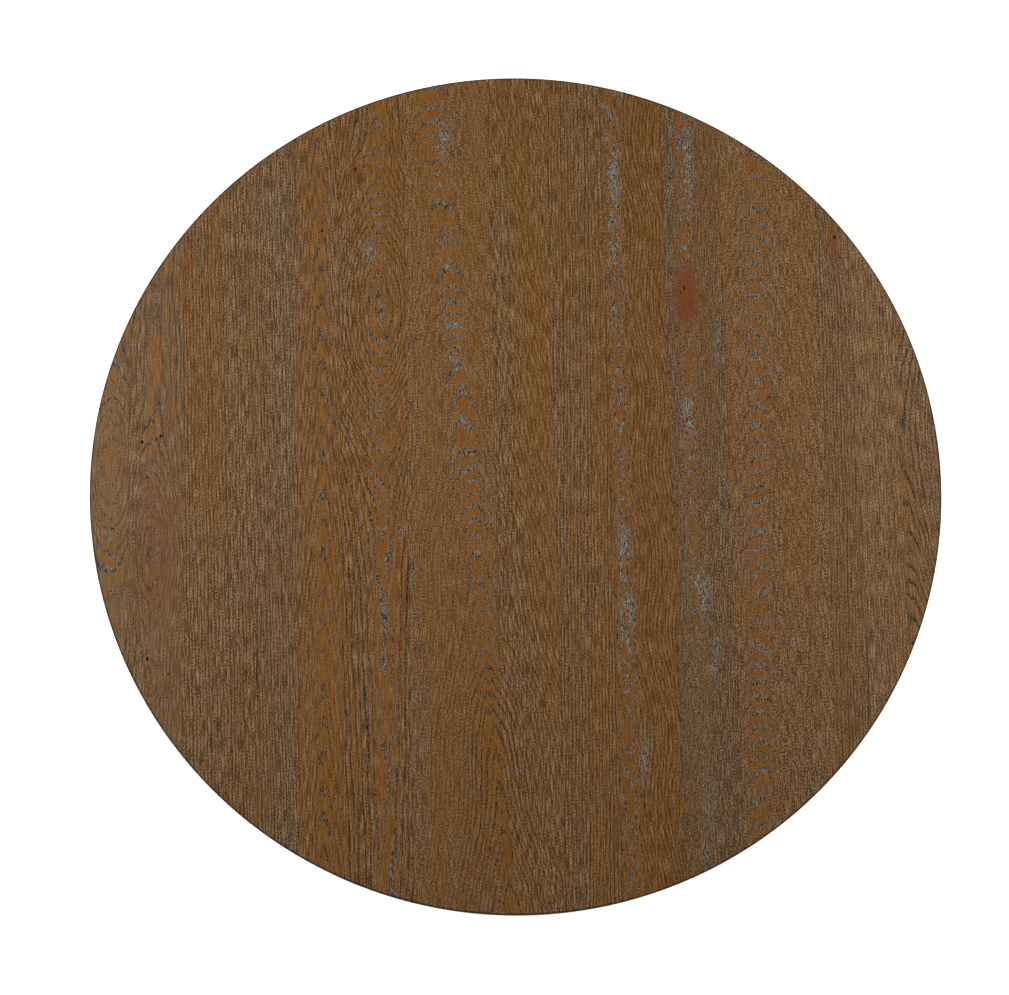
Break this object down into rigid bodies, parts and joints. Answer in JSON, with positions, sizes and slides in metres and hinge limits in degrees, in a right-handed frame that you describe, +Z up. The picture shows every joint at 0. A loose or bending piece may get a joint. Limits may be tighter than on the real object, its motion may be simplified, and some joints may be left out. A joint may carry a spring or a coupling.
{
  "type": "round pedestal table",
  "caption": "Round dining table: a planked oak top on a turned pedestal column with curved legs and levelling glides.",
  "frame": {"origin": "on the floor under the middle of the round top", "axes": "+Z up; the boards and their grain run along Y"},
  "size_m": [1.524, 1.524, 0.762],
  "materials": {
    "top_oak": "smoked brown oak, wire brushed, with grey limed grain, matt",
    "frame_oak": "smoked brown oak, planed, matt",
    "pedestal_oak": "smoked brown oak, sanded and brushed, matt",
    "black_steel": "black powder coat",
    "zinc_steel": "zinc plated",
    "insert_brass": "turned brass",
    "pad_nylon": "moulded nylon"
  },
  "bodies": {
    "root": {"top_plank_01": "top_oak", "top_plank_02": "top_oak", "top_plank_03": "top_oak", "top_plank_04": "top_oak", "top_plank_05": "top_oak", "top_plank_06": "top_oak", "top_plank_07": "top_oak", "top_plank_08": "top_oak", "top_plank_09": "top_oak", "top_plank_10": "top_oak", "top_plank_11": "top_oak", "top_plank_12": "top_oak", "top_plank_13": "top_oak", "top_plank_14": "top_oak", "top_plank_15": "top_oak", "batten_front": "frame_oak", "batten_back": "frame_oak", "bearer_across": "frame_oak", "bearer_along": "frame_oak", "column": "pedestal_oak", "leg_1": "pedestal_oak", "leg_2": "pedestal_oak", "leg_3": "pedestal_oak", "leg_4": "pedestal_oak", "spider_plate": "black_steel", "batten_front_screw_1": "zinc_steel", "batten_front_screw_2": "zinc_steel", "batten_front_screw_3": "zinc_steel", "batten_back_screw_1": "zinc_steel", "batten_back_screw_2": "zinc_steel", "batten_back_screw_3": "zinc_steel", "bearer_across_screw_1": "zinc_steel", "bearer_across_screw_2": "zinc_steel", "bearer_across_screw_3": "zinc_steel", "bearer_across_screw_4": "zinc_steel", "bearer_along_screw_1": "zinc_steel", "bearer_along_screw_2": "zinc_steel", "bearer_along_screw_3": "zinc_steel", "bearer_along_screw_4": "zinc_steel", "spider_screw_1": "zinc_steel", "spider_screw_2": "zinc_steel", "spider_screw_3": "zinc_steel", "spider_screw_4": "zinc_steel", "tie_rod": "zinc_steel", "tie_washer_upper": "zinc_steel", "tie_nut_upper": "zinc_steel", "tie_washer_lower": "zinc_steel", "tie_nut_lower": "zinc_steel", "glide_insert_1": "insert_brass", "glide_insert_2": "insert_brass", "glide_insert_3": "insert_brass", "glide_insert_4": "insert_brass"},
    "glide_pad_1": {"glide_pad_1": "pad_nylon"},
    "glide_stem_1": {"glide_stem_1": "zinc_steel"},
    "glide_pad_2": {"glide_pad_2": "pad_nylon"},
    "glide_stem_2": {"glide_stem_2": "zinc_steel"},
    "glide_pad_3": {"glide_pad_3": "pad_nylon"},
    "glide_stem_3": {"glide_stem_3": "zinc_steel"},
    "glide_pad_4": {"glide_pad_4": "pad_nylon"},
    "glide_stem_4": {"glide_stem_4": "zinc_steel"}
  },
  "joints": [
    {"name": "glide_1_travel", "type": "slide", "parent": "root", "child": "glide_pad_1", "axis": [0, 0, -1], "range_m": [0, 0.01]},
    {"name": "glide_1_screw", "type": "hinge", "parent": "glide_pad_1", "child": "glide_stem_1", "pos_m": [0.30406, 0.30406, 0.011], "axis": [0, 0, -1], "range_deg": [0, 2880]},
    {"name": "glide_2_travel", "type": "slide", "parent": "root", "child": "glide_pad_2", "axis": [0, 0, -1], "range_m": [0, 0.01]},
    {"name": "glide_2_screw", "type": "hinge", "parent": "glide_pad_2", "child": "glide_stem_2", "pos_m": [-0.30406, 0.30406, 0.011], "axis": [0, 0, -1], "range_deg": [0, 2880]},
    {"name": "glide_3_travel", "type": "slide", "parent": "root", "child": "glide_pad_3", "axis": [0, 0, -1], "range_m": [0, 0.01]},
    {"name": "glide_3_screw", "type": "hinge", "parent": "glide_pad_3", "child": "glide_stem_3", "pos_m": [-0.30406, -0.30406, 0.011], "axis": [0, 0, -1], "range_deg": [0, 2880]},
    {"name": "glide_4_travel", "type": "slide", "parent": "root", "child": "glide_pad_4", "axis": [0, 0, -1], "range_m": [0, 0.01]},
    {"name": "glide_4_screw", "type": "hinge", "parent": "glide_pad_4", "child": "glide_stem_4", "pos_m": [0.30406, -0.30406, 0.011], "axis": [0, 0, -1], "range_deg": [0, 2880]}
  ],
  "couplings": [
    {"joint": "glide_1_screw", "follows": "glide_1_travel", "rad_per_m": 5026.5},
    {"joint": "glide_2_screw", "follows": "glide_2_travel", "rad_per_m": 5026.5},
    {"joint": "glide_3_screw", "follows": "glide_3_travel", "rad_per_m": 5026.5},
    {"joint": "glide_4_screw", "follows": "glide_4_travel", "rad_per_m": 5026.5}
  ]
}
